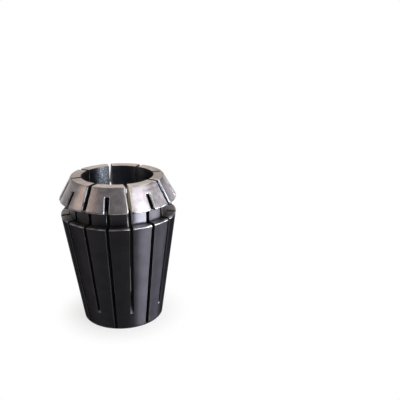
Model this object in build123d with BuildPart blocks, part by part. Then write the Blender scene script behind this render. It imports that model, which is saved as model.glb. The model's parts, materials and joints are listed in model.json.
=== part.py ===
from build123d import *

import os
from math import isclose, radians, sqrt, tan

# Slotted spring collet with an 8 degree taper, in millimetres.
#
# One turned, bored and slit piece. The origin is on the axis, in the plane of
# the small back face, and +Z runs along the axis to the front face, where the
# tool shank goes in. The front slots start on the +X axis.

# --- Driving dimensions -------------------------------------------------------

overall_length = 34.0  # back face to front face
nominal_diameter = 26.0  # head, and taper at the sharp corner of the flange
taper_half_angle = 8.0  # outer taper, to the axis
nose_half_angle = 30.0  # nose cone, to the axis

bore_diameter = 16.0  # gripping bore, the same from end to end

head_height = 5.11  # front face to the upper wall of the groove
head_land = 0.25  # cylinder under the nose cone
head_edge_chamfer = 0.15  # lower edge of the head
groove_width = 3.1  # extraction groove
groove_diameter = 22.0
groove_corner_radius = 0.2
flange_edge_chamfer = 0.25  # upper edge of the taper
back_edge_chamfer = 0.3  # both edges of the back face

slot_count = 8  # from each end
slot_width = 0.8
slot_edge_break = 0.2  # edges of the slots on the nose cone
back_bridge = 4.0  # metal left below the front slots, at the taper
front_bridge = 1.7  # metal left above the back slots, at the nose cone
saw_radius = 20.0  # disc that slits the wall
saw_reach = 5.0  # nearest that the disc comes to the axis
cut_clearance = 1.0  # how far a cut runs past the metal

# --- Derived dimensions -------------------------------------------------------

taper_slope = tan(radians(taper_half_angle))
nose_slope = tan(radians(nose_half_angle))

nominal_radius = nominal_diameter / 2
bore_radius = bore_diameter / 2
groove_radius = groove_diameter / 2
groove_depth = nominal_radius - groove_radius

groove_top = overall_length - head_height
groove_bottom = groove_top - groove_width


def taper_radius(height):
    """Radius of the outer taper, from the back face to the flange."""
    return nominal_radius - (groove_bottom - height) * taper_slope


back_wall = taper_radius(0) - bore_radius

# Edges and corners are no larger than their walls leave room for.
back_chamfer = min(back_edge_chamfer, back_wall / 4)
flange_chamfer = min(flange_edge_chamfer, groove_depth / 4)
head_chamfer = min(head_edge_chamfer, groove_depth / 4)
groove_corner = min(groove_corner_radius, groove_depth / 4)

land_bottom = groove_top + head_chamfer
land_top = land_bottom + head_land


def nose_radius(height):
    """Radius of the nose cone, from the land to the front face."""
    return nominal_radius - (height - land_top) * nose_slope


outer_reach = nominal_radius + cut_clearance
saw_centre_radius = saw_reach + saw_radius


def saw_drop(radius):
    """Axial distance from the disc's centre to its rim, at a radius of the collet."""
    return sqrt(saw_radius**2 - (saw_centre_radius - radius) ** 2)


front_saw_centre = back_bridge + saw_drop(taper_radius(back_bridge))
front_saw_exit = front_saw_centre - saw_drop(outer_reach)

back_slot_end = overall_length - front_bridge
back_saw_centre = back_slot_end - saw_drop(nose_radius(back_slot_end))
back_saw_exit = back_saw_centre + saw_drop(outer_reach)

slot_pitch = 360 / slot_count

break_half_width = slot_width / 2 + slot_edge_break

# --- Wedge that breaks the edges of a slot on the nose cone ---------------------


def nose_wedge(top):
    """Wedge down the outline of the nose cone, from a height to below the head."""
    start = Vector(nose_radius(top), 0, top)
    run = Vector(nose_radius(groove_top), 0, groove_top) - start
    with BuildPart() as wedge:
        with BuildSketch(Plane(start, x_dir=(0, 1, 0), z_dir=run)):
            with BuildLine():
                Polyline(
                    (0, -break_half_width),
                    (break_half_width + slot_edge_break, slot_edge_break),
                    (-break_half_width - slot_edge_break, slot_edge_break),
                    close=True,
                )
            make_face()
        extrude(amount=run.length)
    return wedge.part


front_slot_wedge = nose_wedge(overall_length + cut_clearance)
back_slot_wedge = nose_wedge(back_slot_end - slot_edge_break)

# --- Front slot: from the front face almost to the back face -------------------

with BuildPart() as front_slot:
    with BuildSketch(Plane.XZ):
        with BuildLine():
            front_rim = RadiusArc(
                (saw_reach, front_saw_centre), (outer_reach, front_saw_exit), -saw_radius
            )
            Polyline(
                front_rim @ 1,
                (outer_reach, overall_length + cut_clearance),
                (saw_reach, overall_length + cut_clearance),
                front_rim @ 0,
            )
        make_face()
    extrude(amount=slot_width / 2, both=True)
    add(front_slot_wedge)

# --- Back slot: from the back face up into the nose cone -----------------------

with BuildPart() as back_slot:
    with BuildSketch(Plane.XZ):
        with BuildLine():
            back_rim = RadiusArc(
                (saw_reach, back_saw_centre), (outer_reach, back_saw_exit), saw_radius
            )
            Polyline(
                back_rim @ 1,
                (outer_reach, -cut_clearance),
                (saw_reach, -cut_clearance),
                back_rim @ 0,
            )
        make_face()
    extrude(amount=slot_width / 2, both=True)
    add(back_slot_wedge)

# --- Collet -------------------------------------------------------------------

with BuildPart() as collet:
    # Half section of the blank: back face, taper, groove, head, nose, front face, bore.
    with BuildSketch(Plane.XZ):
        with BuildLine():
            Polyline(
                (bore_radius + back_chamfer, 0),
                (taper_radius(0) - back_chamfer, 0),
                (taper_radius(back_chamfer), back_chamfer),
                (taper_radius(groove_bottom - flange_chamfer), groove_bottom - flange_chamfer),
                (nominal_radius - flange_chamfer, groove_bottom),
                (groove_radius, groove_bottom),
                (groove_radius, groove_top),
                (nominal_radius - head_chamfer, groove_top),
                (nominal_radius, land_bottom),
                (nominal_radius, land_top),
                (nose_radius(overall_length), overall_length),
                (bore_radius, overall_length),
                (bore_radius, back_chamfer),
                close=True,
            )
        section = make_face()
        groove_floor = section.vertices().filter_by(lambda corner: isclose(corner.X, groove_radius))
        fillet(groove_floor, radius=groove_corner)
    revolve(axis=Axis.Z)

    # Eight slots from each end, half a pitch apart.
    with PolarLocations(0, slot_count):
        add(front_slot.part, mode=Mode.SUBTRACT)
    with PolarLocations(0, slot_count, start_angle=slot_pitch / 2):
        add(back_slot.part, mode=Mode.SUBTRACT)

collet.part.label = "collet"

# --- Output -------------------------------------------------------------------

os.makedirs("parts", exist_ok=True)
export_step(collet.part, "parts/collet.step")
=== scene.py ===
"""Looks of a slotted spring collet in ground steel, on a pale studio floor.

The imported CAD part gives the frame. One finer mesh of the same shape stands for
it, with rounded edges and a procedural finish. All lengths are in metres.
"""
import json
import math

import bmesh
import bpy
from mathutils import Matrix, Vector


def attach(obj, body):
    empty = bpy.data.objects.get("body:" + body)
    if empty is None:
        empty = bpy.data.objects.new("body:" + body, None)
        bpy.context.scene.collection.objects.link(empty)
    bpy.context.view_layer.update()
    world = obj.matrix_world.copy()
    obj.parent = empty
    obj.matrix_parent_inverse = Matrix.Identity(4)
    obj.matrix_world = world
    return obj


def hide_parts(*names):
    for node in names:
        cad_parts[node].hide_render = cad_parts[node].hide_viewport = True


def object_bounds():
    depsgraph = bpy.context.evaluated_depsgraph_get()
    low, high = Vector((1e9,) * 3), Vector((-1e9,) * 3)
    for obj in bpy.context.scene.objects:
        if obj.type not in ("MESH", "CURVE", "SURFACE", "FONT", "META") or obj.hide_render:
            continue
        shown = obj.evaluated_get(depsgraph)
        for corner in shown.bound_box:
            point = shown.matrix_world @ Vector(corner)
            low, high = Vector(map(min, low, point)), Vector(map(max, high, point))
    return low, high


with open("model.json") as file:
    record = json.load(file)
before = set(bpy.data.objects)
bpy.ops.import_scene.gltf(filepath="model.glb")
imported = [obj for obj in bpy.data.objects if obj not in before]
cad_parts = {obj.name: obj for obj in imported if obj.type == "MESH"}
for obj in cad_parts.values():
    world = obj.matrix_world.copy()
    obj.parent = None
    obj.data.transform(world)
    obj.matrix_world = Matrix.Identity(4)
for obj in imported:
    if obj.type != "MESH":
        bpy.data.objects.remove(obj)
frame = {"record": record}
cad_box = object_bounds()

MM = 0.001

# --- Sizes of the collet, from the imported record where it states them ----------

mounts = {mount["name"]: mount for mount in frame["record"]["mounts"]}


def mount_size(name, key):
    """One stated size of a mount, in metres."""
    return mounts[name]["dims"][key] * MM


LENGTH = cad_box[1].z - cad_box[0].z
BORE_RADIUS = mount_size("shank_bore", "r_mm")
NOMINAL_RADIUS = mount_size("chuck_taper", "r_mm")
FLANGE_TOP = mount_size("chuck_taper", "length_mm")
GROOVE_RADIUS = mount_size("extraction_groove", "r_mm")
GROOVE_WIDTH = mount_size("extraction_groove", "length_mm")

TAPER_SLOPE = math.tan(math.radians(8))
NOSE_SLOPE = math.tan(math.radians(30))
BORE_BACK_CHAMFER = 0.3 * MM
BACK_EDGE_CHAMFER = 0.3 * MM
FLANGE_EDGE_CHAMFER = 0.25 * MM
HEAD_EDGE_CHAMFER = 0.15 * MM
HEAD_LAND = 0.25 * MM
GROOVE_CORNER_RADIUS = 0.2 * MM

SLOT_COUNT = 8  # from each end
SLOT_WIDTH = 0.8 * MM
BACK_BRIDGE = 4.0 * MM  # left standing behind the slots that are open in front
FRONT_BRIDGE = 1.7 * MM  # left standing before the slots that are open at the back
SAW_RADIUS = 20 * MM
SAW_CENTRE_RADIUS = 25 * MM

CEILING = FLANGE_TOP + GROOVE_WIDTH  # the groove's upper side
LAND_BOTTOM = CEILING + HEAD_EDGE_CHAMFER
LAND_TOP = LAND_BOTTOM + HEAD_LAND
FACE_RADIUS = NOMINAL_RADIUS - (LENGTH - LAND_TOP) * NOSE_SLOPE
CORNER_FOOT_RADIUS = GROOVE_RADIUS + GROOVE_CORNER_RADIUS

# --- How finely the mesh is divided --------------------------------------------

TAPER_ROWS = 10
NOSE_ROWS = 4
FRONT_ROWS = 3  # between the back slots' ends and the front face
WALL_STEPS = (0.0, 0.35, 0.7, 1.0)  # shares of the way from the bore to the outer layer
GROOVE_STEP = 2  # step of the wall that meets the groove's floor
LAST_STEP = len(WALL_STEPS)  # the outside, one step beyond the start of the outer layer
CEILING_LIFT = 0.85  # share of its rise that the row to the groove's ceiling makes by its middle
LEFT_WALL, SLOT_MIDDLE, RIGHT_WALL = range(3)  # planes of a slot
SECTOR_COLUMNS = 7  # between a slot's right wall and the next slot's left wall
PLANES_PER_SLOT = RIGHT_WALL + SECTOR_COLUMNS
PLANE_COUNT = 2 * SLOT_COUNT * PLANES_PER_SLOT
SLOT_EDGE_BREAK = 0.2 * MM  # on the edges of the slots on the head
SKIN_LAYER = SLOT_EDGE_BREAK / math.cos(math.atan(NOSE_SLOPE))  # depth of the outer layer
EDGE_ROUNDING = 0.05 * MM
BEVEL_SEGMENTS = 3
SHARP_ANGLE = math.radians(25)

FINISHES = (
    "nose",
    "taper",
    "groove",
    "face",
    "ledge",
    "rim",
    "bore",
    "front_slot",
    "back_slot",
    "slot_end",
    "edge",
)
FINISH_OF_ROLE = {"bore": "bore", "wall": "back_slot", "saw": "slot_end"}
CELL_SIDES = (  # way to the next cell (up, out, on), corners of the side, role of its face
    ((-1, 0, 0), ((0, 0, 0), (0, 0, 1), (0, 1, 1), (0, 1, 0)), "end"),
    ((1, 0, 0), ((1, 0, 0), (1, 1, 0), (1, 1, 1), (1, 0, 1)), "end"),
    ((0, -1, 0), ((0, 0, 0), (1, 0, 0), (1, 0, 1), (0, 0, 1)), "bore"),
    ((0, 1, 0), ((0, 1, 0), (0, 1, 1), (1, 1, 1), (1, 1, 0)), "skin"),
    ((0, 0, -1), ((0, 0, 0), (0, 1, 0), (1, 1, 0), (1, 0, 0)), "wall"),
    ((0, 0, 1), ((0, 0, 1), (1, 0, 1), (1, 1, 1), (0, 1, 1)), "wall"),
)


# --- Shape ---------------------------------------------------------------------


def taper_radius(z):
    """Outer radius of the 8 degree taper at height z."""
    return NOMINAL_RADIUS - (FLANGE_TOP - z) * TAPER_SLOPE


def nose_radius(z):
    """Outer radius of the nose cone at height z."""
    return FACE_RADIUS + (LENGTH - z) * NOSE_SLOPE


def saw_drop(radius):
    """Axial distance from the saw's centre to its rim, at a radius of the collet."""
    return math.sqrt(SAW_RADIUS**2 - (SAW_CENTRE_RADIUS - radius) ** 2)


FRONT_SAW_CENTRE = BACK_BRIDGE + saw_drop(taper_radius(BACK_BRIDGE))
BACK_SLOT_END = LENGTH - FRONT_BRIDGE
BACK_SAW_CENTRE = BACK_SLOT_END - saw_drop(nose_radius(BACK_SLOT_END))


def front_slot_floor(radius):
    """Height of the front slots' ends at a radius."""
    return FRONT_SAW_CENTRE - saw_drop(radius)


def back_slot_ceiling(radius):
    """Height of the back slots' ends at a radius."""
    return BACK_SAW_CENTRE + saw_drop(radius)


def mix(a, b, share):
    """The value that lies a share of the way from a to b."""
    return a + (b - a) * share


def spread(low, high, steps):
    """steps values after low, evenly spaced, the last of them high."""
    return [low + (high - low) * step / steps for step in range(1, steps + 1)]


def outline():
    """Outer half section from the back face to the front face: (radius, height, kind)."""
    taper = spread(BACK_BRIDGE, FLANGE_TOP - FLANGE_EDGE_CHAMFER, TAPER_ROWS)
    nose = spread(LAND_TOP, BACK_SLOT_END, NOSE_ROWS)
    front = spread(BACK_SLOT_END, LENGTH, FRONT_ROWS)
    dip = GROOVE_CORNER_RADIUS * (1 - math.sqrt(0.5))  # middle of a corner's arc, off both walls
    return [
        (taper_radius(0) - BACK_EDGE_CHAMFER, 0.0, "skin"),
        (taper_radius(BACK_EDGE_CHAMFER), BACK_EDGE_CHAMFER, "skin"),
        (taper_radius(BACK_BRIDGE / 2), BACK_BRIDGE / 2, "skin"),
        (taper_radius(BACK_BRIDGE), BACK_BRIDGE, "front_slot_end"),
        *[(taper_radius(z), z, "skin") for z in taper],
        (NOMINAL_RADIUS - FLANGE_EDGE_CHAMFER, FLANGE_TOP, "ledge"),
        (GROOVE_RADIUS + dip, FLANGE_TOP + dip, "groove"),
        (GROOVE_RADIUS, FLANGE_TOP + GROOVE_CORNER_RADIUS, "groove"),
        (GROOVE_RADIUS, CEILING - GROOVE_CORNER_RADIUS, "groove"),
        (GROOVE_RADIUS + dip, CEILING - dip, "groove"),
        (NOMINAL_RADIUS - HEAD_EDGE_CHAMFER, CEILING, "ledge"),
        (NOMINAL_RADIUS, LAND_BOTTOM, "skin"),
        (NOMINAL_RADIUS, LAND_TOP, "skin"),
        *[(nose_radius(z), z, "skin") for z in nose[:-1]],
        (nose_radius(BACK_SLOT_END), BACK_SLOT_END, "back_slot_end"),
        *[(nose_radius(z), z, "skin") for z in front],
    ]


def bore_height(z):
    """Height on the bore's wall of the row that reaches the outside at height z."""
    pairs = [
        (0.0, 0.0),
        (BORE_BACK_CHAMFER, BORE_BACK_CHAMFER),
        (BACK_BRIDGE, front_slot_floor(BORE_RADIUS)),
        (BACK_SLOT_END, back_slot_ceiling(BORE_RADIUS)),
        (LENGTH, LENGTH),
    ]
    for (low, start), (high, end) in zip(pairs, pairs[1:]):
        if z <= high:
            return start + (end - start) * (z - low) / (high - low)
    return LENGTH


def wall_line(inner, outer):
    """Points through the wall at every step, from the bore to the outside."""
    radius, z = outer
    share = 1 - SKIN_LAYER / (radius - inner[0])
    below = (radius - SKIN_LAYER, mix(inner[1], z, share))
    line = [(mix(inner[0], below[0], s), mix(inner[1], below[1], s)) for s in WALL_STEPS]
    return line + [outer]


def inner_line(inner, outer):
    """Points from the bore to the step that meets the groove's floor."""
    shares = [step / GROOVE_STEP for step in range(GROOVE_STEP + 1)]
    return [(mix(inner[0], outer[0], s), mix(inner[1], outer[1], s)) for s in shares]


def ceiling_line():
    """Points from the bore to the foot of the groove's ceiling, steep first and then flat."""
    start = (BORE_RADIUS, bore_height(CEILING))
    bore, middle, foot = inner_line(start, (CORNER_FOOT_RADIUS, CEILING))
    return [bore, (middle[0], mix(bore[1], CEILING, CEILING_LIFT)), foot]


def head_line(outer):
    """Points through the head, fanned out from the groove's ceiling to the back slots' ends."""
    radius, z = outer
    share = (z - CEILING) / (BACK_SLOT_END - CEILING)
    end_start = (BORE_RADIUS, bore_height(BACK_SLOT_END))
    end = wall_line(end_start, (nose_radius(BACK_SLOT_END), BACK_SLOT_END))
    line = []
    for (low_radius, low), (high_radius, _) in zip(ceiling_line(), end):
        high = back_slot_ceiling(high_radius)
        line.append((mix(low_radius, high_radius, share), mix(low, high, share)))
    return line + [(radius - SKIN_LAYER, z), outer]


def section_row(radius, z, kind):
    """The (radius, height) points across the wall, from the bore to a point of the outline."""
    inner_radius = BORE_RADIUS + (BORE_BACK_CHAMFER if z == 0 else 0.0)
    inner = (inner_radius, bore_height(z))
    outer = (radius, z)
    if kind == "front_slot_end":
        return [(r, front_slot_floor(r)) for r, _ in wall_line(inner, outer)]
    if kind == "back_slot_end":
        return [(r, back_slot_ceiling(r)) for r, _ in wall_line(inner, outer)]
    if kind == "groove":
        return inner_line(inner, outer)
    if kind == "ledge":
        row = ceiling_line() if z == CEILING else inner_line(inner, (CORNER_FOOT_RADIUS, z))
        return row + [(radius - SKIN_LAYER, z), outer]
    if CEILING < z < BACK_SLOT_END:
        return head_line(outer)
    return wall_line(inner, outer)


def plane_azimuth(plane, radius, edge_break):
    """Azimuth of one of the lattice's radial planes, which follow the slots' walls."""
    slot, place = divmod(plane, PLANES_PER_SLOT)
    pitch = math.pi / SLOT_COUNT
    half_slot = math.asin((SLOT_WIDTH / 2 + edge_break) / radius)
    middle = slot * pitch
    if place == LEFT_WALL:
        return middle - half_slot
    if place == SLOT_MIDDLE:
        return middle
    start = middle + half_slot
    end = middle + pitch - half_slot
    return mix(start, end, (place - RIGHT_WALL) / SECTOR_COLUMNS)


def opens_in_front(plane):
    """True if the plane's slot is open at the front face, which every second slot is."""
    return plane % PLANE_COUNT // PLANES_PER_SLOT % 2 == 0


class Lattice:
    """The collet's cells, by row up its height, step through its wall and plane round its axis."""

    def __init__(self):
        """Makes the rows, and finds those at which slots end and the groove lies."""
        points = outline()
        kinds = [kind for _, _, kind in points]
        self.section = [section_row(*point) for point in points]
        self.last_row = len(points) - 1
        self.front_slot_end = kinds.index("front_slot_end")
        self.back_slot_end = kinds.index("back_slot_end")
        self.flange = kinds.index("ledge")
        self.ceiling = self.last_row - kinds[::-1].index("ledge")

    def solid(self, row, step, plane):
        """True if there is metal in the cell above row, outside step and after plane."""
        if not (0 <= row < self.last_row and 0 <= step < LAST_STEP):
            return False
        if step >= GROOVE_STEP and self.flange <= row < self.ceiling:
            return False
        if plane % PLANES_PER_SLOT >= RIGHT_WALL:
            return True
        return row < self.front_slot_end if opens_in_front(plane) else row >= self.back_slot_end

    def place(self, row, step, plane):
        """Where a corner of the cells lies."""
        radius, z = self.section[row][step]
        edge_break = SLOT_EDGE_BREAK if row >= self.ceiling and step == LAST_STEP else 0.0
        azimuth = plane_azimuth(plane, radius, edge_break)
        return (radius * math.cos(azimuth), radius * math.sin(azimuth), z)

    def role(self, cell, way, role):
        """A face's role, with the ends of the cells told apart: sawn, or turned like the skin."""
        row, step, _ = cell
        if role != "end":
            return role
        next_row = row + way[0]
        in_slot = 0 <= next_row < self.last_row
        on_ledge = step >= GROOVE_STEP and next_row in (self.flange, self.ceiling - 1)
        return "saw" if in_slot and not on_ledge else "skin"

    def turned_finish(self, row, up):
        """Finish of the turned surface at a row, on the side that up points to."""
        if row == self.last_row - 1 and up > 0:
            return "face"
        if row == self.flange - 1:
            return "rim" if up == 0 else "ledge"
        if self.flange <= row < self.ceiling:
            return "groove"
        if row in (self.ceiling, self.ceiling + 1):
            return "rim"
        return "nose" if row >= self.ceiling else "taper"

    def finish(self, cell, way, role):
        """Finish of the face on one side of a cell."""
        row, step, plane = cell
        up, _, on = way
        if role == "wall" and row >= self.ceiling and step == LAST_STEP - 1:
            return "edge"
        if role == "wall" and opens_in_front(plane + on):
            return "front_slot"
        return FINISH_OF_ROLE.get(role) or self.turned_finish(row, up)

    def bare_sides(self):
        """The sides between metal and air: cell, way out of it, corners and role."""
        for row in range(self.last_row):
            for step in range(LAST_STEP):
                for plane in range(PLANE_COUNT):
                    if not self.solid(row, step, plane):
                        continue
                    for way, corners, role in CELL_SIDES:
                        up, out, on = way
                        if not self.solid(row + up, step + out, plane + on):
                            cell = (row, step, plane)
                            yield cell, way, corners, self.role(cell, way, role)


def build_mesh():
    """The boundary of the lattice's metal, with the edges marked that are to be rounded."""
    lattice = Lattice()
    shape = bmesh.new()
    weights = shape.edges.layers.float.new("bevel_weight_edge")
    vertices = {}
    roles = {}
    for (row, step, plane), way, corners, role in lattice.bare_sides():
        loop = []
        for up, out, on in corners:
            key = (row + up, step + out, (plane + on) % PLANE_COUNT)
            if key not in vertices:
                vertices[key] = shape.verts.new(lattice.place(*key))
            loop.append(vertices[key])
        face = shape.faces.new(loop)
        face.material_index = FINISHES.index(lattice.finish((row, step, plane), way, role))
        face.smooth = True
        roles[face] = role
    shape.normal_update()
    for edge in shape.edges:
        roles_here = {roles[face] for face in edge.link_faces}
        if edge.calc_face_angle() > SHARP_ANGLE and (edge.is_convex or "wall" in roles_here):
            edge[weights] = 1.0
    mesh = bpy.data.meshes.new("collet_body")
    shape.to_mesh(mesh)
    shape.free()
    return mesh


def soften_edges(piece):
    """Rounds the sharp edges and keeps the large faces flat in the shading."""
    bevel = piece.modifiers.new("rounded_edges", "BEVEL")
    bevel.limit_method = "WEIGHT"
    bevel.width = EDGE_ROUNDING
    bevel.segments = BEVEL_SEGMENTS
    bevel.use_clamp_overlap = False
    bevel.material = FINISHES.index("edge")
    normals = piece.modifiers.new("flat_faces", "WEIGHTED_NORMAL")
    normals.mode = "FACE_AREA_WITH_ANGLE"
    normals.keep_sharp = True


# --- Materials -----------------------------------------------------------------


def rgb(red, green, blue):
    """An opaque colour."""
    return (red, green, blue, 1.0)


GROOVE_HIGHLIGHT_AZIMUTH = math.radians(-73)  # middle of the groove's painted highlight arc
BORE_HIGHLIGHT_AZIMUTH = math.radians(106)  # middle of the bore's painted highlight
LIT_SLOT_AZIMUTH = math.radians(-90)  # slot whose walls and edges on the head carry painted light
EDGE_HIGHLIGHTS = (  # azimuth and colour of painted highlights on the edges of slots on the head
    (LIT_SLOT_AZIMUTH, rgb(0.8, 0.77, 0.72)),
    (math.radians(-45), rgb(0.85, 0.88, 1.0)),
    (math.radians(-67.5), rgb(0.85, 0.83, 0.82)),
    (math.radians(-112.5), rgb(0.42, 0.43, 0.47)),
)

# Marks that run round the axis: how often they repeat across their run and along it, per metre.
GROUND = (5200.0, 160.0)
GROUND_BANDS = (1500.0, 60.0)
TURNED = (6000.0, 120.0)
HONED = (4200.0, 90.0)
SAW_END = (3000.0, 900.0)
RADIUS_SHARE = 0.7  # of the radius, added to the height, so that flat faces get rings too
SAWN = (1800.0, 1800.0, 120.0)  # marks of the slots' walls, which run with the axis, per metre
SAWN_CONTRAST = 0.8  # darkest sawn metal, as a share of the brightest

NOISE_LOW = 0.3  # nearly all of a noise lies between these two
NOISE_HIGH = 0.7
MIX_SHARE, MIX_A, MIX_B, MIX_RESULT = 0, 6, 7, 2  # sockets of the Mix node for colours


class Graph:
    """A material's node tree, with short calls for the nodes used here."""

    def __init__(self, name):
        """Starts a material, with the place on the object and the distance from its axis."""
        self.material = bpy.data.materials.new(name)
        self.material.use_nodes = True
        self.tree = self.material.node_tree
        self.tree.nodes.clear()
        self.spot = self.node("TexCoord").outputs["Object"]
        self.x, self.y, self.z = self.node("SeparateXYZ", Vector=self.spot).outputs
        squares = self.plus(self.times(self.x, self.x), self.times(self.y, self.y))
        self.radius = self.math("SQRT", squares)

    def node(self, kind, settings=None, **inputs):
        """A new node with its settings and inputs, in which a name's blanks are underscores."""
        made = self.tree.nodes.new("ShaderNode" + kind)
        for key, value in (settings or {}).items():
            setattr(made, key, value)
        for key, value in inputs.items():
            self.put(made.inputs[key.replace("_", " ")], value)
        return made

    def put(self, socket, value):
        """Links an output to a socket, or sets the socket to a plain value."""
        if isinstance(value, bpy.types.NodeSocket):
            self.tree.links.new(value, socket)
        else:
            socket.default_value = value

    def math(self, operation, a, b=0.0):
        """One of Blender's operations on numbers."""
        made = self.node("Math", {"operation": operation})
        self.put(made.inputs[0], a)
        self.put(made.inputs[1], b)
        return made.outputs[0]

    def plus(self, a, b):
        """The sum of two numbers."""
        return self.math("ADD", a, b)

    def times(self, a, b):
        """The product of two numbers."""
        return self.math("MULTIPLY", a, b)

    def vector_math(self, operation, a, b):
        """The node of one of Blender's operations on two vectors."""
        made = self.node("VectorMath", {"operation": operation})
        self.put(made.inputs[0], a)
        self.put(made.inputs[1], b)
        return made

    def blend(self, share, a, b, mode="MIX"):
        """A colour that goes from a to b as the share goes from 0 to 1."""
        made = self.node("Mix", {"data_type": "RGBA", "blend_type": mode})
        self.put(made.inputs[MIX_SHARE], share)
        self.put(made.inputs[MIX_A], a)
        self.put(made.inputs[MIX_B], b)
        return made.outputs[MIX_RESULT]

    def span(self, value, low, high, to_low=0.0, to_high=1.0):
        """A smooth step from to_low to to_high, as the value goes from low to high."""
        made = self.node("MapRange", {"interpolation_type": "SMOOTHSTEP"})
        for socket, number in zip(made.inputs, (value, low, high, to_low, to_high)):
            self.put(socket, number)
        return made.outputs[0]

    def vary(self, noise, low, high):
        """A noise, stretched to lie between low and high."""
        return self.span(noise, NOISE_LOW, NOISE_HIGH, low, high)

    def noise(self, vector, scale, detail=2.0, roughness=0.5):
        """Noise from 0 to 1."""
        made = self.node("TexNoise", Vector=vector, Scale=scale, Detail=detail, Roughness=roughness)
        return made.outputs["Fac"]

    def cloud(self, scale, roughness=0.6):
        """Soft patches all over the object."""
        return self.noise(self.spot, scale, 3.0, roughness)

    def marks(self, repeats, detail=2.0):
        """Noise stretched round the axis, as turning and grinding marks are."""
        across, around = repeats
        along = self.plus(self.z, self.times(self.radius, RADIUS_SHARE))
        vector = self.node("CombineXYZ")
        self.put(vector.inputs[0], self.times(self.x, around))
        self.put(vector.inputs[1], self.times(self.y, around))
        self.put(vector.inputs[2], self.times(along, across))
        return self.noise(vector.outputs[0], 1.0, detail)

    def near_azimuth(self, azimuth, inner, outer, ragged=0.0):
        """1 within the angle inner of an azimuth, falling to 0 at the angle outer, in radians.

        A noise added as ragged makes the patch's border uneven.
        """
        off = self.math("SUBTRACT", self.math("ARCTAN2", self.y, self.x), azimuth)
        off = self.plus(self.math("ABSOLUTE", off), ragged)
        return self.span(off, inner, outer, 1.0, 0.0)

    def shaded(self, colour, tone):
        """A colour times a grey tone."""
        grey = self.node("CombineColor")
        for socket in grey.inputs[:3]:
            self.put(socket, tone)
        return self.blend(1.0, colour, grey.outputs[0], "MULTIPLY")

    def metal(self, colour, roughness, height, depth, anisotropic=0.0, grazing=1.0):
        """Ends the material: a metal whose highlights are drawn out as by marks round the axis.

        The bumps are depth high. At grazing angles the metal reflects the grey grazing.
        """
        bump = self.node("Bump", Strength=1.0, Distance=depth, Height=height)
        shader = self.node("BsdfPrincipled", Base_Color=colour, Metallic=1.0, Roughness=roughness)
        self.put(shader.inputs["Normal"], bump.outputs[0])
        self.put(shader.inputs["Specular Tint"], rgb(grazing, grazing, grazing))
        if anisotropic:
            self.put(shader.inputs["Anisotropic"], anisotropic)
            self.put(shader.inputs["Anisotropic Rotation"], 0.25)  # a quarter turn
            tangent = self.node("Tangent", {"direction_type": "RADIAL", "axis": "Z"})
            self.put(shader.inputs["Tangent"], tangent.outputs[0])
        self.node("OutputMaterial", Surface=shader.outputs[0])
        return self.material


def nose_steel():
    """Ground nose cone: satin grey steel."""
    graph = Graph("nose_steel")
    fine = graph.marks(GROUND)
    coarse = graph.marks(GROUND_BANDS)
    cloud = graph.cloud(420.0, 0.65)
    tone = graph.times(graph.span(cloud, 0.35, 0.65, 0.82, 1.14), graph.vary(coarse, 0.94, 1.06))
    colour = graph.shaded(rgb(0.44, 0.4, 0.417), tone)
    roughness = graph.plus(graph.vary(fine, 0.27, 0.33), graph.times(cloud, 0.1))
    return graph.metal(colour, roughness, graph.plus(fine, coarse), 0.003 * MM, anisotropic=0.6)


def on_taper(azimuth, z):
    """Point of the taper at an azimuth in degrees."""
    turn = math.radians(azimuth)
    radius = taper_radius(z)
    return (radius * math.cos(turn), radius * math.sin(turn), z)


RUST = rgb(0.045, 0.024, 0.015)
OIL_DOT = rgb(0.3, 0.29, 0.3)
SPECKS = (  # place, radius and colour
    (on_taper(-103.5, 24.9 * MM), 0.35 * MM, RUST),  # under the rim
    (on_taper(-93.6, 24.6 * MM), 0.35 * MM, RUST),  # beside the middle slot
    (on_taper(-130.0, 17.5 * MM), 0.25 * MM, RUST),  # on the left
    (on_taper(-75.0, 8.5 * MM), 0.15 * MM, OIL_DOT),  # low on the right
)
SPECK_RAGGED = 0.5 * MM
SPECK_FADE = (0.1 * MM, 0.3 * MM)  # beyond its radius
SPECK_STRENGTH = 0.9


def taper_steel():
    """Ground taper, near-black as painted dark reflection of its surroundings, with specks of rust
    and oil.
    """
    graph = Graph("taper_steel")
    fine = graph.marks(GROUND)
    coarse = graph.marks(GROUND_BANDS)
    cloud = graph.cloud(330.0)
    tone = graph.times(graph.span(cloud, 0.35, 0.65, 0.88, 1.1), graph.vary(coarse, 0.985, 1.015))
    # painted dark reflection: the near-black base stands in for the dark surroundings that the
    # taper reflects
    colour = graph.shaded(rgb(0.028, 0.027, 0.031), tone)
    roughness = graph.plus(graph.vary(fine, 0.45, 0.5), graph.times(cloud, 0.06))
    ragged_edge = graph.times(graph.noise(graph.spot, 2500.0), SPECK_RAGGED)
    for place, radius, tint in SPECKS:
        away = graph.vector_math("DISTANCE", graph.spot, place).outputs["Value"]
        start, end = (radius + fade for fade in SPECK_FADE)
        share = graph.span(graph.plus(away, ragged_edge), start, end, SPECK_STRENGTH, 0.0)
        colour = graph.blend(share, colour, tint)
    return graph.metal(colour, roughness, fine, 0.002 * MM, anisotropic=0.95, grazing=0.4)


def groove_steel():
    """Groove's floor: near-black like the taper as painted dark reflection, with a painted
    highlight over a short arc.
    """
    graph = Graph("groove_steel")
    fine = graph.marks(GROUND)
    cloud = graph.cloud(500.0)
    # painted highlight: the base is made paler over the arc that faces the key light; the
    # near-black base elsewhere is painted dark reflection
    painted_highlight = graph.near_azimuth(GROOVE_HIGHLIGHT_AZIMUTH, 0.2, 0.5, graph.times(cloud, 0.15))
    colour = graph.blend(painted_highlight, rgb(0.035, 0.033, 0.037), rgb(0.07, 0.068, 0.077))
    roughness = graph.plus(graph.vary(fine, 0.36, 0.42), graph.times(cloud, 0.06))
    return graph.metal(colour, roughness, fine, 0.002 * MM, anisotropic=0.9)


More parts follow.
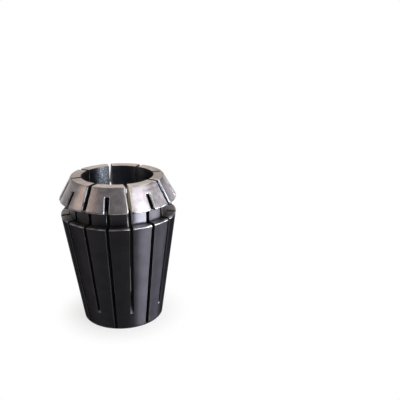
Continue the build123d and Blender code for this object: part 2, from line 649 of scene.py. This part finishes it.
def face_steel():
    """Turned front face: paler, with rings round the bore."""
    graph = Graph("face_steel")
    rings = graph.marks(TURNED)
    colour = graph.shaded(rgb(0.56, 0.505, 0.47), graph.vary(graph.cloud(420.0), 0.86, 1.08))
    roughness = graph.vary(rings, 0.38, 0.5)
    return graph.metal(colour, roughness, rings, 0.003 * MM, anisotropic=0.5)


def ledge_steel():
    """Turned top of the flange: half clean, with a painted highlight over the groove's arc."""
    graph = Graph("ledge_steel")
    rings = graph.marks(TURNED)
    cloud = graph.cloud(420.0)
    # painted highlight: the ledge is made pale over the same arc as the groove
    painted_highlight = graph.near_azimuth(GROOVE_HIGHLIGHT_AZIMUTH, 0.25, 0.55, graph.times(cloud, 0.15))
    colour = graph.blend(painted_highlight, rgb(0.23, 0.215, 0.21), rgb(0.62, 0.61, 0.65))
    colour = graph.shaded(colour, graph.vary(cloud, 0.7, 1.15))
    return graph.metal(colour, graph.vary(rings, 0.3, 0.42), rings, 0.003 * MM)


def rim_steel():
    """Chamfer of the flange and land of the head, rubbed bright in places."""
    graph = Graph("rim_steel")
    cloud = graph.cloud(700.0)
    colour = graph.blend(graph.span(cloud, 0.4, 0.6), rgb(0.12, 0.116, 0.12), rgb(0.25, 0.24, 0.25))
    return graph.metal(colour, graph.vary(cloud, 0.3, 0.42), cloud, 0.003 * MM)


def bore_steel():
    """Honed bore: dark and bluish, with a painted highlight patch mottled by oil."""
    graph = Graph("bore_steel")
    fine = graph.marks(HONED, 3.0)
    cloud = graph.cloud(420.0)
    mottle = graph.cloud(3200.0, 0.7)
    # painted highlight: a pale patch on one side of the bore, where the key light's reflection
    # falls
    highlight_patch = graph.near_azimuth(BORE_HIGHLIGHT_AZIMUTH, 0.1, 0.45, graph.times(cloud, 0.2))
    dark = graph.blend(cloud, rgb(0.05, 0.055, 0.07), rgb(0.12, 0.13, 0.16))
    mottled = graph.span(mottle, 0.42, 0.66)
    lit_colour = graph.blend(mottled, rgb(0.2, 0.225, 0.29), rgb(0.85, 0.9, 1.0))
    colour = graph.blend(highlight_patch, dark, lit_colour)
    roughness = graph.vary(fine, 0.32, 0.46)
    return graph.metal(colour, roughness, graph.plus(fine, mottle), 0.02 * MM, anisotropic=0.85)


def sawn_steel(name, in_head):
    """Sawn walls of slots: dull, with marks along the cut; painted shade makes them dark below the
    head, and painted light makes one slot's walls pale.
    """
    graph = Graph(name)
    stretched = graph.vector_math("MULTIPLY", graph.spot, SAWN).outputs[0]
    fine = graph.noise(stretched, 1.0, 3.0)
    dark = graph.blend(fine, rgb(0.03, 0.027, 0.027), rgb(0.06, 0.054, 0.054))
    darker = rgb(*[SAWN_CONTRAST * part for part in in_head])
    lit_colour = graph.blend(fine, darker, rgb(*in_head))
    # painted light: the walls of one slot on the head are made pale
    in_lit_slot = graph.near_azimuth(LIT_SLOT_AZIMUTH, 0.15, 0.25)
    lit_colour = graph.blend(in_lit_slot, lit_colour, rgb(0.8, 0.76, 0.7))
    # painted shade: below the head the walls go dark, where little light falls into the slots
    on_head = graph.span(graph.z, CEILING - 0.3 * MM, CEILING + 0.3 * MM)
    colour = graph.blend(on_head, dark, lit_colour)
    return graph.metal(colour, graph.vary(fine, 0.55, 0.7), fine, 0.01 * MM)


def front_slot_steel():
    """Walls of the slots that are open at the front face; on the head they are paler, as painted
    light that falls in from the face.
    """
    return sawn_steel("front_slot_steel", (0.1, 0.095, 0.09))


def back_slot_steel():
    """Walls of the slots that end inside the head; on the head they are darker than the open slots'
    walls, as painted shade.
    """
    return sawn_steel("back_slot_steel", (0.07, 0.065, 0.065))


def slot_end_steel():
    """Arc that the saw leaves at the end of a slot, made paler than the walls as a painted glint,
    streaked along the saw's marks.
    """
    graph = Graph("slot_end_steel")
    fine = graph.marks(SAW_END)
    # painted glint: the arcs are paler than the slots' walls
    colour = graph.blend(fine, rgb(0.035, 0.036, 0.039), rgb(0.15, 0.155, 0.17))
    return graph.metal(colour, graph.vary(fine, 0.3, 0.45), fine, 0.005 * MM)


def edge_steel():
    """The rounded edges, brighter on the nose and on the flange's rim, where they rub, with painted
    highlights on the edges of four slots on the head.
    """
    graph = Graph("edge_steel")
    cloud = graph.noise(graph.spot, 900.0)
    from_flange_top = graph.math("ABSOLUTE", graph.math("SUBTRACT", graph.z, FLANGE_TOP))
    far_out = graph.span(graph.radius, NOMINAL_RADIUS - 0.6 * MM, NOMINAL_RADIUS - 0.4 * MM)
    on_rim = graph.times(far_out, graph.span(from_flange_top, 0.2 * MM, 0.5 * MM, 1.0, 0.0))
    on_nose = graph.span(graph.z, LAND_TOP, LAND_TOP + 0.1 * MM)
    rubbed = graph.span(cloud, 0.42, 0.58)
    wear_and_highlights = graph.blend(rubbed, rgb(0.11, 0.106, 0.118), rgb(0.32, 0.315, 0.34))
    # painted highlights on the edges of four slots on the head, by azimuth
    for azimuth, painted_highlight in EDGE_HIGHLIGHTS:
        wear_and_highlights = graph.blend(graph.near_azimuth(azimuth, 0.1, 0.16), wear_and_highlights, painted_highlight)
    colour = graph.blend(graph.math("MAXIMUM", on_rim, on_nose), rgb(0.055, 0.054, 0.058), wear_and_highlights)
    return graph.metal(colour, graph.vary(cloud, 0.24, 0.36), cloud, 0.003 * MM)


MATERIALS = {
    "nose": nose_steel,
    "taper": taper_steel,
    "groove": groove_steel,
    "face": face_steel,
    "ledge": ledge_steel,
    "rim": rim_steel,
    "bore": bore_steel,
    "front_slot": front_slot_steel,
    "back_slot": back_slot_steel,
    "slot_end": slot_end_steel,
    "edge": edge_steel,
}


def add_collet():
    """The one piece, which stands for the CAD's node."""
    mesh = build_mesh()
    for finish in FINISHES:
        mesh.materials.append(MATERIALS[finish]())
    piece = bpy.data.objects.new("collet_body", mesh)
    bpy.context.scene.collection.objects.link(piece)
    soften_edges(piece)
    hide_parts("collet")
    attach(piece, "root")


# --- Camera --------------------------------------------------------------------

# The camera stands beside the part's axis. Its heading is turned so that the slots
# lie as they do in the view wanted.
VIEW_TURN = math.radians(-19.4)
CAMERA_RIGHT = 18.53 * MM
CAMERA_BACK = 118.74 * MM
CAMERA_HEIGHT = 66.56 * MM
CAMERA_PITCH = math.radians(22.07)
CAMERA_ROLL = math.radians(0.49)
FRAME_PIXELS = 400
FOCAL_PIXELS = 548.9
CENTRE_DROP_PIXELS = 40.0  # optical centre, below the middle of the frame
SENSOR_WIDTH = 36.0  # in Blender's millimetres for lenses
CLIP_START = 0.005
CLIP_END = 20.0


def from_view(right, back, up):
    """The point so far right of, before and above the part's foot, as the camera sees it."""
    return Matrix.Rotation(VIEW_TURN, 3, "Z") @ Vector((right, -back, up))


def add_camera():
    """The camera, shifted so that the optical centre lies below the middle of the frame."""
    data = bpy.data.cameras.new("view")
    data.sensor_width = SENSOR_WIDTH
    data.lens = FOCAL_PIXELS / FRAME_PIXELS * SENSOR_WIDTH
    data.shift_y = CENTRE_DROP_PIXELS / FRAME_PIXELS
    data.clip_start = CLIP_START
    data.clip_end = CLIP_END
    ahead = from_view(0.0, -math.cos(CAMERA_PITCH), -math.sin(CAMERA_PITCH))
    level = from_view(1.0, 0.0, 0.0)
    above = level.cross(ahead)
    right = math.cos(CAMERA_ROLL) * level + math.sin(CAMERA_ROLL) * above
    up = math.cos(CAMERA_ROLL) * above - math.sin(CAMERA_ROLL) * level
    turn = Matrix((right, up, -ahead)).transposed().to_4x4()
    spot = from_view(CAMERA_RIGHT, CAMERA_BACK, CAMERA_HEIGHT)
    camera = bpy.data.objects.new("view", data)
    camera.matrix_world = Matrix.Translation(spot) @ turn
    bpy.context.scene.collection.objects.link(camera)
    bpy.context.scene.camera = camera


# --- Floor ---------------------------------------------------------------------

FLOOR_SIZE = 8.0
FLOOR_GRAIN = 900.0  # per metre
PAPER = rgb(0.8, 0.8, 0.8)
PAPER_LIGHT = rgb(0.82, 0.82, 0.82)
SHADE_COLOUR = rgb(0.02, 0.02, 0.02)
FOOT_SHADE_COLOUR = rgb(0.04, 0.04, 0.04)  # painted shade on the paper inside the foot of the part
WHITE = rgb(1.0, 1.0, 1.0)
FOOT_RADIUS = taper_radius(0)
LIFT_START = 9.5 * MM  # the floor turns from shaded paper to the white background
LIFT_END = 17 * MM
SHADE_LIFT = 0.72  # share of white that is mixed into the shade round the foot

SHADE_TURN = math.radians(9)  # heading of the soft painted shade on the floor behind the part
SHADE_CENTRE = 14 * MM
SHADE_LENGTH = 18 * MM  # half its length and half its width
SHADE_WIDTH = 12 * MM
SHADE_DEPTH = 0.92


def back_shade(graph):
    """Strength of the painted shade that lies behind the part, falling to 0 at its edge."""
    away = from_view(-math.sin(SHADE_TURN), -math.cos(SHADE_TURN), 0.0)
    across = away.cross(Vector((0.0, 0.0, 1.0)))
    terms = []
    for direction, centre, half in ((away, SHADE_CENTRE, SHADE_LENGTH), (across, 0.0, SHADE_WIDTH)):
        along = graph.vector_math("DOT_PRODUCT", graph.spot, tuple(direction)).outputs["Value"]
        share = graph.math("DIVIDE", graph.math("SUBTRACT", along, centre), half)
        terms.append(graph.math("POWER", graph.math("ABSOLUTE", share), 2.0))
    return graph.span(graph.plus(*terms), 0.0, 1.0, SHADE_DEPTH, 0.0)


def seen_directly(graph):
    """1 for rays from the camera and for reflected or refracted ones, 0 for diffuse light."""
    path = graph.node("LightPath")
    share = graph.math("MAXIMUM", path.outputs["Is Camera Ray"], path.outputs["Is Glossy Ray"])
    return graph.math("MAXIMUM", share, path.outputs["Is Transmission Ray"])


def floor_material():
    """White paper, with the part's shade round its foot, painted shade inside the foot and a soft
    painted shade behind it.
    """
    graph = Graph("studio_floor")
    shade = back_shade(graph)
    outside = graph.math("GREATER_THAN", graph.radius, FOOT_RADIUS)
    paper = graph.blend(graph.noise(graph.spot, FLOOR_GRAIN), PAPER, PAPER_LIGHT)
    # painted shadow: the paper darkens behind the part, and no white is mixed in there
    paper = graph.blend(shade, paper, SHADE_COLOUR)
    # painted shade: the paper inside the part's foot is made near-black
    paper = graph.blend(outside, FOOT_SHADE_COLOUR, paper)
    lit = graph.times(outside, graph.math("SUBTRACT", 1.0, shade))
    white_share = graph.times(graph.span(graph.radius, LIFT_START, LIFT_END, SHADE_LIFT, 1.0), lit)
    matt = graph.node("BsdfDiffuse", Color=paper)
    white = graph.node("Emission", Color=WHITE, Strength=1.0)
    mixed = graph.node("MixShader")
    graph.put(mixed.inputs[0], graph.times(seen_directly(graph), white_share))
    graph.put(mixed.inputs[1], matt.outputs[0])
    graph.put(mixed.inputs[2], white.outputs[0])
    graph.node("OutputMaterial", Surface=mixed.outputs[0])
    return graph.material


def add_floor():
    """A square of floor at the part's foot."""
    mesh = bpy.data.meshes.new("studio_floor")
    half = FLOOR_SIZE / 2
    corners = [(-half, -half, 0), (half, -half, 0), (half, half, 0), (-half, half, 0)]
    mesh.from_pydata(corners, [], [(0, 1, 2, 3)])
    mesh.materials.append(floor_material())
    floor = bpy.data.objects.new("studio_floor", mesh)
    floor.location.z = cad_box[0].z
    bpy.context.scene.collection.objects.link(floor)


# --- Light ---------------------------------------------------------------------

ROOM_LIGHT = 0.2
BACKDROP_LOW = 0.03  # sine of the height at which the white backdrop starts to fade
BACKDROP_HIGH = 0.12  # and at which only the room's light is left


def add_room():
    """The world: a white backdrop near the horizon, in a dim room."""
    world = bpy.data.worlds.new("studio")
    world.use_nodes = True
    tree = world.node_tree
    tree.nodes.clear()
    ray = tree.nodes.new("ShaderNodeTexCoord")
    axes = tree.nodes.new("ShaderNodeSeparateXYZ")
    tree.links.new(ray.outputs["Generated"], axes.inputs[0])
    strength = tree.nodes.new("ShaderNodeMapRange")
    strength.interpolation_type = "SMOOTHSTEP"
    for socket, number in zip(strength.inputs[1:5], (BACKDROP_LOW, BACKDROP_HIGH, 1.0, ROOM_LIGHT)):
        socket.default_value = number
    tree.links.new(axes.outputs["Z"], strength.inputs["Value"])
    background = tree.nodes.new("ShaderNodeBackground")
    background.inputs["Color"].default_value = WHITE
    tree.links.new(strength.outputs[0], background.inputs["Strength"])
    output = tree.nodes.new("ShaderNodeOutputWorld")
    tree.links.new(background.outputs[0], output.inputs["Surface"])
    bpy.context.scene.world = world


def add_softbox(name, turn, rise, distance, size, colour, power):
    """An area lamp, aimed at the part from turn degrees right of the view and rise degrees up."""
    data = bpy.data.lights.new(name, "AREA")
    data.shape = "RECTANGLE"
    data.size, data.size_y = size
    data.color = colour
    data.energy = power
    turn = math.radians(turn)
    rise = math.radians(rise)
    reach = distance * math.cos(rise)
    spot = from_view(reach * math.sin(turn), reach * math.cos(turn), distance * math.sin(rise))
    target = Vector((0.0, 0.0, LENGTH / 2))
    aim = (target - spot).to_track_quat("-Z", "Y").to_matrix().to_4x4()
    lamp = bpy.data.objects.new(name, data)
    lamp.matrix_world = Matrix.Translation(spot) @ aim
    bpy.context.scene.collection.objects.link(lamp)


SOFTBOXES = (  # name, turn, rise, distance, width and height, colour, power in watts
    ("key", 54, 27, 0.5, (0.29, 0.36), (0.94, 0.96, 1.0), 0.9),
    ("low_right", 60, 2, 0.1, (0.06, 0.022), (0.92, 0.94, 1.0), 0.38),
    ("low_far_right", 98, 6, 0.12, (0.06, 0.03), (0.94, 0.95, 1.0), 0.17),
    ("warm_left", -68, 24, 0.5, (0.4, 0.25), (1.0, 0.8, 0.64), 0.38),
    ("warm_top", 180, 55, 0.7, (0.9, 0.7), (1.0, 0.93, 0.87), 2.6),
)

# --- The scene -----------------------------------------------------------------

add_collet()
add_camera()
add_floor()
add_room()
for softbox in SOFTBOXES:
    add_softbox(*softbox)

bpy.context.scene.view_settings.view_transform = "Standard"
